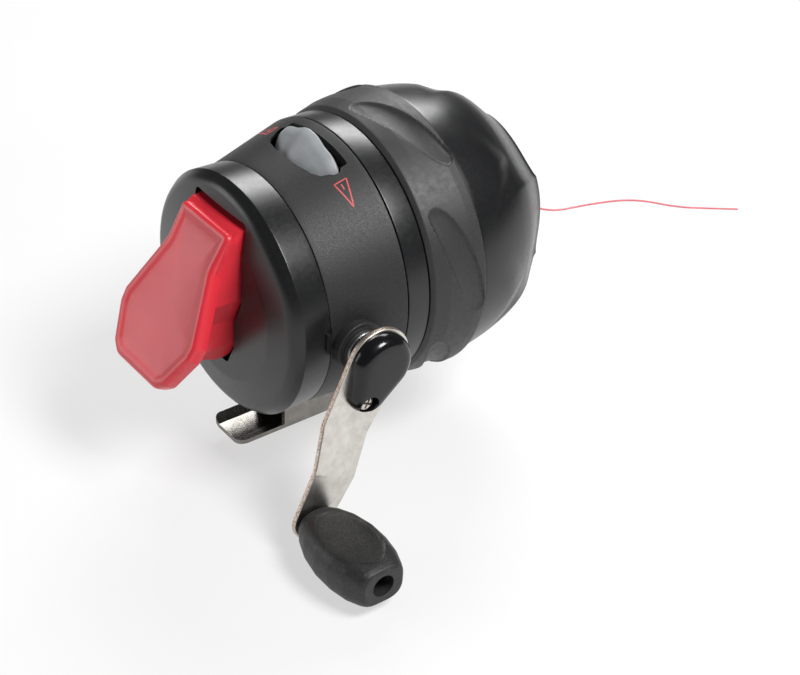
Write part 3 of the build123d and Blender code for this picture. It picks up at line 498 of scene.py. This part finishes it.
grip_corners = [
    (12.2, 37.0), (12.2, 38.3), (13.3, 39.3), (17.8, 40.4), (26.0, 41.3), (29.1, 41.3), (29.1, 37.0),
]
grip_outline = dense(rounded(grip_corners, [0, 0.4, 1.2, 3, 3, 0.5, 0]), 0.35)
grip = lathe("rubber_grip", grip_outline, 540, shape=leaves, sharp=50)
place(grip, "cover", "grip_rubber", RUBBER, "grip_ring")


# ---- rear cover -----------------------------------------------------------------------
rear_outline = rounded([
    (-18.05, 34.97), (X_CREASE, 35.3), (-29.6, 33.2), (-31.2, 24.0), (X_FACE, 14.0), (X_FACE, 0.0),
    (X_FACE + 2, 0.0), (X_FACE + 2.5, 24.0), (-28.0, 31.2), (-25.6, 31.0), (-18.05, 32.5),
], [0.25, 0.5, 5.0, 10.0, 6.0, 0, 0, 0, 0, 0, 0], 10)
rear = lathe("rear_shell", dense(rear_outline, 1.5), 240, height=lambda x: REAR_Z)
slot_half = [(12.2, 77.7), (12.2, 53.0), (8.5, 45.0), (8.5, 37.0), (5.0, 30.0)]
slot = prism("slot", rounded(slot_half + [(-y, z) for y, z in reversed(slot_half)], 1.6),
             lambda a, b, h: (h, a, b), X_FACE - 3, X_FACE + 6)
join_shape(rear, slot)
for post in ((23.6, 62.5), (22.5, 38.5), (-15.3, 29.5)):
    join_shape(rear, prism("post", circle(3.1, 32, post), lambda a, b, h: (h, a, b), -29.6, 9.4), "UNION")
for side in (-1, 1):
    tab = prism("tab", rounded([(-20.0, 47.5), (-18.4, 47.5), (-18.4, 52.7), (-20.0, 52.7)], 0.5),
                lambda a, b, h: (a, h, b), side * 34.4, side * 35.75)
    join_shape(rear, tab, "UNION")
place(rear, "root", "satin_black", SATIN, "rear_cover")

# ---- housing barrel ---------------------------------------------------------------------
def barrel_height(x):
    return REAR_Z + (AXIS_Z - REAR_Z) * (x - X_SEAM) / (X_PART - X_SEAM)


def barrel_radius(x):
    return R_SEAM + (R_PART - R_SEAM) * (x - X_SEAM) / (X_PART - X_SEAM)


barrel_outline = rounded([
    (X_SEAM + 0.05, 35.0), (X_PART - 0.02, 38.5), (X_PART - 0.02, 36.2), (X_SEAM + 0.05, 32.8),
], [0.3, 0.3, 0, 0], 4)
barrel = lathe("barrel", dense(barrel_outline, 1.5), 300, height=barrel_height)
window_half = [(-9.2, 5.0), (-7.9, 9.6), (-6.4, 11.8), (-4.2, 12.8), (1.6, 13.0)]
window = prism("window", rounded(
    [(-9.6, 0.0)] + window_half + [(x, -y) for x, y in reversed(window_half)],
    [2, 2, 2, 1, 1, 0.8, 0.8, 1, 1, 2, 2]), lambda a, b, h: (a, b, h), 72, 96)
join_shape(barrel, window)
pocket_corners = [
    (-9.6, 0.0), (-9.6, 10.0), (-6.2, 14.4), (-3.6, 16.6), (-1.4, 17.3), (-0.1, 16.4), (-0.1, 0.0),
]
pocket = lathe("pocket", dense(rounded(pocket_corners, [0, 0.6, 4, 4, 1.2, 0.4, 0]), 0.8), 120,
               height=lambda x: WHEEL_Z)
join_shape(barrel, pocket)


def turned_side(name, outline, segments=72):
    """Solid turned about the crank's axis, from (radius, distance along -Y)."""
    verts, faces = [], []
    count = len(outline)
    for k in range(segments):
        a = 2 * pi * k / segments
        verts += [(CRANK.x + r * cos(a), -d, CRANK.z + r * sin(a)) for r, d in outline]
    for k in range(segments):
        here, there = k * count, (k + 1) % segments * count
        faces += [(here + i, here + (i + 1) % count, there + (i + 1) % count, there + i) for i in range(count)
                  if outline[i][0] + outline[(i + 1) % count][0] > 1e-6]
    return add_mesh(name, verts, faces)


boss = turned_side("boss", rounded(
    [(4.4, 27.0), (5.8, 27.0), (5.8, 33.0), (7.2, 33.0), (7.2, 38.2), (5.8, 38.2), (5.8, 39.4), (4.4, 39.4)],
    [0, 0, 0, 0, 0.4, 0.15, 0.3, 0.1], 4))
bore = turned_side("bore", [(0, 20), (4.5, 20), (4.5, 45), (0, 45)])
join_shape(barrel, bore)
join_shape(barrel, boss, "UNION")
saddle = prism("saddle", rounded([(-13.7, -7.6), (4.3, -7.6), (4.3, 7.6), (-13.7, 7.6)], 1.0),
               lambda a, b, h: (a, b, h), 12.85, 15.6)
join_shape(barrel, saddle, "UNION")
neck = lathe("neck", [(4.5, 31.0), (13.9, 31.0), (13.9, 35.4), (4.5, 35.4)], 200)
join_shape(barrel, neck, "UNION")
place(barrel, "root", "textured_black", POWDER, "body_housing")

# ---- drag wheel ---------------------------------------------------------------------------
LOBES = 8


def lobes(x, r, angle):
    phase = (degrees(angle) - 90) * LOBES / 360 % 1.0
    dip = (0.5 - 0.5 * np.cos(2 * pi * phase)) ** 1.5
    return np.where(r > 6, r * (1 - 0.055 * dip), r)


wheel_outline = dense(rounded([
    (-8.6, 2.2), (-8.6, 9.2), (-5.6, 13.2), (-3.4, 15.6), (-1.4, 16.4), (-0.7, 15.6), (-0.7, 2.2),
], [0, 0.6, 4, 4, 1.2, 0.4, 0]), 0.5)
wheel = lathe("drag_wheel_shell", wheel_outline, 240, height=lambda x: WHEEL_Z, shape=lobes)
place(wheel, "drag", "grey_plastic", GREY, "drag_wheel")

# ---- thumb button ---------------------------------------------------------------------------
BELLY = Vector((-50.4, 0, 48.2))
RISE = (Vector((-35.3, 0, 74.6)) - BELLY).normalized()
FACE = Vector((-RISE.z, 0, RISE.x))


def on_button(a, b, h):
    return BELLY + Vector((0, 1, 0)) * a + RISE * b + FACE * h


half = [(11.5, 31.7), (11.1, 20.5), (14.1, 12.0), (17.9, 1.2), (17.6, -2.8), (13.1, -12.9), (9.7, -15.5)]
corner_radii = [2.2, 5, 5, 3, 3, 4, 4]
paddle_corners = half + [(-x, y) for x, y in reversed(half)]
paddle = dense(rounded(paddle_corners, corner_radii + corner_radii[::-1], 8), 0.6)
levels = [
    (0.5, -4.5), (0.1, -4.2), (0.0, -3.6), (0.0, -1.5), (0.12, -0.9), (0.42, -0.42), (0.9, -0.12), (1.4, 0.0),
    (2.1, -0.04), (2.8, -0.22), (3.4, -0.4), (4.0, -0.5, -0.45),
]
button = layered("thumb_paddle", paddle, levels, (0, 7.0), on_button, core=10)
web_line = [
    (-35.0, 73.4), (-31.6, 75.6), (-25.6, 76.3), (-22.8, 74.4), (-22.8, 71.0), (-26.6, 66.0),
    (-30.4, 60.0), (-30.4, 33.0), (-33.0, 31.0), (-47.0, 38.6), (-46.8, 47.6),
]
web = prism("web", rounded(web_line, 1.0), lambda a, b, h: (a, h, b), -11.3, 11.3)
web_half = [(11.3, 79.0), (11.3, 54.5), (7.8, 46.5), (7.8, 38.5), (4.3, 31.6)]
join_shape(web, prism("profile", rounded(web_half + [(-y, z) for y, z in reversed(web_half)], 1.0),
                      lambda a, b, h: (h, a, b), -55, -15), "INTERSECT")
join_shape(button, web, "UNION")
pin_bore = prism("pin_bore", circle(1.55, 32, (-26.0, 73.0)), lambda a, b, h: (a, h, b), -15, 15)
join_shape(button, pin_bore)
place(button, "thumb", "red_plastic", RED, "thumb_button")


# ---- crank cap, screw and knob ----------------------------------------------------------------
def on_arm(a, b, h):
    return CRANK + DOWN * a + ACROSS * b + OUT * h


def hull_outline(r1, r2, gap, steps=40):
    """Outline of two circles of radius r1 and r2, gap apart, and their common tangents."""
    lean = asin((r1 - r2) / gap)
    edge = pi / 2 - lean
    small = [(gap + r2 * cos(a), r2 * sin(a)) for a in np.linspace(-edge, edge, steps)]
    big = [(r1 * cos(a), r1 * sin(a)) for a in np.linspace(edge, 2 * pi - edge, steps)]
    return dense(small + big, 0.6)


cap_rise = [(0.0, 0.02), (0.0, 0.9), (0.15, 1.6), (0.45, 2.5), (0.95, 3.3), (1.6, 3.85), (2.4, 4.15)]
cap_levels = [(inset, ARM_OUT + rise) for inset, rise in cap_rise] + [(3.2, ARM_OUT + 4.25, 0.12)]
cap = layered("crank_cap_shell", hull_outline(9.0, 5.9, 8.6), cap_levels, (3.5, 0), on_arm)
well = prism("well", circle(2.8, 48, (SCREW_AT, 0)), on_arm, ARM_OUT + 1.4, ARM_OUT + 6)
join_shape(cap, well)
place(cap, "crank", "gloss_black", CAP_BLACK, "crank_cap")

screw_levels = [(0.0, ARM_OUT + 1.4), (0.0, ARM_OUT + 1.9), (0.25, ARM_OUT + 2.4), (0.7, ARM_OUT + 2.7, 0.1)]
screw = layered("cap_screw_head", circle(2.35, 48, (SCREW_AT, 0)), screw_levels, (SCREW_AT, 0), on_arm)
for wide, tall in ((1.5, 0.32), (0.32, 1.5)):
    quarter = ((-wide, -tall), (wide, -tall), (wide, tall), (-wide, tall))
    corners = [(SCREW_AT + a, b) for a, b in quarter]
    cross = prism("cross", corners, on_arm, ARM_OUT + 1.9, ARM_OUT + 4)
    join_shape(screw, cross)
place(screw, "crank", "nickel_plate", NICKEL, "cap_screw")

# knob sections: distance along -Y, half width, top, bottom, squareness
KNOB = [
    (50.4, 4.6, 3.6, -4.2, 2.2),
    (50.9, 5.6, 4.4, -5.0, 2.3),
    (53.5, 7.3, 5.4, -6.4, 2.4),
    (58.0, 9.0, 6.4, -7.6, 2.5),
    (64.0, 10.0, 7.0, -8.3, 2.6),
    (70.0, 9.9, 7.0, -8.3, 2.7),
    (75.5, 8.9, 6.6, -7.7, 2.9),
    (79.6, 7.3, 5.8, -6.6, 3.2),
    (80.9, 6.7, 5.3, -6.0, 3.2),
    (81.4, 6.0, 4.7, -5.4, 3.2),
]


def knob_mesh():
    around, along = 96, 90
    station = np.linspace(0, 1, along)
    fine = 50.4 + (81.4 - 50.4) * (0.5 - 0.5 * np.cos(pi * station))
    table = np.array(KNOB)
    wide, top, low, power = (np.interp(fine, table[:, 0], table[:, c]) for c in range(1, 5))
    verts = []
    for d, w, t, b, n in zip(fine, wide, top, low, power):
        for k in range(around):
            a = 2 * pi * k / around
            ca, sa = cos(a), sin(a)
            px = w * np.sign(ca) * abs(ca) ** (2 / n)
            pz = (t if sa > 0 else -b) * np.sign(sa) * abs(sa) ** (2 / n)
            # thumb dish in the upper side
            u = (d - 66.5) / 12.0
            v = px / 7.4
            inside = 1 - u * u - v * v
            if pz > 0 and inside > 0:
                pz -= 1.7 * inside ** 0.55
            verts.append((KNOB_AXIS.x + px, -d, KNOB_AXIS.z + pz))
    faces = []
    for s in range(along - 1):
        for k in range(around):
            j = (k + 1) % around
            faces.append((s * around + k, s * around + j, (s + 1) * around + j, (s + 1) * around + k))
    faces.append(tuple(range(around)))
    faces.append(tuple((along - 1) * around + k for k in range(around))[::-1])
    return add_mesh("knob_shell", verts, faces, 40)


knob = knob_mesh()
for radius, start in ((2.25, 40.0), (3.3, 75.5)):
    hole = prism("hole", circle(radius, 48, (KNOB_AXIS.x, KNOB_AXIS.z)), lambda a, b, h: (a, -h, b),
                 start, 90.0)
    join_shape(knob, hole)
place(knob, "crank_knob", "knob_plastic", PEBBLE, "knob")

# ---- markings on the barrel ---------------------------------------------------------------------
def on_barrel(x, turn, lift):
    a = radians(turn)
    r = barrel_radius(x) + lift
    return (x, -r * cos(a), barrel_height(x) + r * sin(a))


def stroke(name, points, closed, width=0.38):
    """Painted line on the barrel through (x, degrees) points."""
    scale = radians(1) * 37
    path = [(x, t * scale) for x, t in points]
    path = dense(path, 0.8, closed)
    verts, faces = [], []
    flat = np.array(path)
    ahead = np.roll(flat, -1, 0) - np.roll(flat, 1, 0) if closed else np.gradient(flat, axis=0)
    side = np.stack([-ahead[:, 1], ahead[:, 0]], 1)
    side /= np.linalg.norm(side, axis=1)[:, None]
    for (x, t), (sx, st) in zip(flat, side):
        for offset in (-width / 2, width / 2):
            for lift in (-0.05, 0.04):
                verts.append(on_barrel(x + sx * offset, (t + st * offset) / scale, lift))
    count = len(flat)
    for i in range(count if closed else count - 1):
        a, b = i * 4, (i + 1) % count * 4
        faces += [(a, a + 1, b + 1, b), (a + 1, a + 3, b + 3, b + 1), (a + 3, a + 2, b + 2, b + 3),
                  (a + 2, a, b, b + 2)]
    if not closed:
        last = (count - 1) * 4
        faces += [(0, 2, 3, 1), (last, last + 1, last + 3, last + 2)]
    return add_mesh(name, verts, faces)


def angle_of(x, y, z):
    return degrees(atan2(z - barrel_height(x), -y))


corners = ((-4.8, -15.9, 83.7), (-1.1, -16.1, 84.8), (-3.2, -22.8, 80.0))
minus = [(x, angle_of(x, y, z)) for x, y, z in corners]
plus = [(x, 180 - t) for x, t in minus]
marks = {"mark_less": (minus, True), "mark_more": (plus, True)}
low = sum(t for _, t in minus) / 3 + 1.5
marks["mark_less_bar"] = ([(-3.1, low - 1.3), (-3.1, low + 1.3)], False)
marks["mark_more_bar"] = ([(-3.1, 178.7 - low), (-3.1, 181.3 - low)], False)
marks["mark_more_post"] = ([(-3.9, 180 - low), (-2.3, 180 - low)], False)
for name, (points, closed) in marks.items():
    place(stroke(name, points, closed), "root", "red_plastic", MARKING)

# ---- the line: one smooth curve over its route -----------------------------------------------------
curve = bpy.data.curves.new("fishing_line", "CURVE")
curve.dimensions = "3D"
curve.bevel_depth = LINE_D / 2 * MM
curve.bevel_resolution = 4
curve.resolution_u = 16
curve.use_fill_caps = True
spline = curve.splines.new("NURBS")
spline.points.add(len(LINE_ROUTE) - 1)
for point, where in zip(spline.points, LINE_ROUTE):
    point.co = (*(c * MM for c in where), 1)
spline.order_u = 3
spline.use_endpoint_u = True
fishing_line = bpy.data.objects.new("fishing_line", curve)
bpy.context.scene.collection.objects.link(fishing_line)
place(fishing_line, "cover_carrier", "line_nylon", NYLON, "line")

# ---- materials and edge rounding of the frame's own pieces -----------------------------------------
carried = {
    "pivot_pin": (STEEL, 0.2), "reel_foot": (foot_steel, 0.35), "foot_screws": (STEEL, 0.2),
    "deck_plate": (ALUMINIUM, 0), "deck_screws": (STEEL, 0), "pinion_bushing": (BRASS, 0),
    "drag_axle": (STEEL, 0), "crank_bushing": (STEEL, 0.15), "pawl_pin": (STEEL, 0),
    "drag_washers": (FELT, 0), "thrust_cap": (SPOOL_WHITE, 0), "return_spring": (STEEL, 0),
    "centre_shaft": (STEEL, 0), "spinner_head": (ALUMINIUM, 0.3), "head_nut": (BRASS, 0),
    "pickup_pin": (STEEL, 0), "pinion": (BRASS, 0), "crank_shaft": (STEEL, 0.2),
    "drive_gear": (BRASS, 0), "ratchet_wheel": (STEEL, 0), "crank_arm": (NICKEL, 0.3),
    "crank_nut": (STEEL, 0), "knob_rivet": (NICKEL, 0.2), "pawl": (STEEL, 0),
    "spool": (SPOOL_WHITE, 0), "wound_line": (NYLON, 0), "cover_gasket": (RUBBER, 0),
    "line_guide": (STEEL, 0.25),
}
for node, (material, edge) in carried.items():
    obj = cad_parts[node]
    for index in range(len(obj.material_slots)):
        obj.material_slots[index].material = material
    if edge:
        soften(obj, edge)

# ---- floor and light -----------------------------------------------------------------------------------
floor_level = CAD_BOX[0][2] - 0.001
floor_mesh = bpy.data.meshes.new("floor")
FLOOR_HALF = 4.0
floor_corners = ((-1, -1), (1, -1), (1, 1), (-1, 1))
floor_points = [(x * FLOOR_HALF, y * FLOOR_HALF, floor_level) for x, y in floor_corners]
floor_mesh.from_pydata(floor_points, [], [(0, 1, 2, 3)])
floor = bpy.data.objects.new("floor", floor_mesh)
bpy.context.scene.collection.objects.link(floor)
pale = Surface("floor_pale", Specular_IOR_Level=0.2, Emission_Color=(1, 1, 1, 1), Emission_Strength=0.6)
pale.colour(pale.noise(300, 2), [(0.3, (0.29, 0.29, 0.29)), (0.7, (0.31, 0.31, 0.31))])
pale.roughness(pale.noise(100, 2), 0.7, 0.8)
floor_mesh.materials.append(pale.material)

world = bpy.data.worlds.new("studio")
world.use_nodes = True
world.node_tree.nodes["Background"].inputs["Color"].default_value = (1, 1, 1, 1)
world.node_tree.nodes["Background"].inputs["Strength"].default_value = 0.06
bpy.context.scene.world = world


def softbox(name, position, target, size, power):
    light = bpy.data.lights.new(name, "AREA")
    light.shape = "RECTANGLE"
    light.size, light.size_y = size
    light.energy = power
    obj = bpy.data.objects.new(name, light)
    obj.location = position
    obj.rotation_euler = (Vector(target) - Vector(position)).to_track_quat("-Z", "Y").to_euler()
    bpy.context.scene.collection.objects.link(obj)


MIDDLE = Vector((0.01, 0, 0.05))
for name, direction, distance, size, power in (
    ("back_box", (0.52, 0.57, 0.64), 0.9, (0.44, 0.3), 5.5),
    ("front_box", (0.17, -0.57, 0.82), 0.8, (0.28, 0.28), 7.5),
    ("left_box", (-0.76, 0.62, 0.24), 0.9, (0.5, 0.4), 2.0),
):
    softbox(name, MIDDLE + Vector(direction).normalized() * distance, MIDDLE, size, power)
bpy.context.scene.view_settings.view_transform = "Standard"
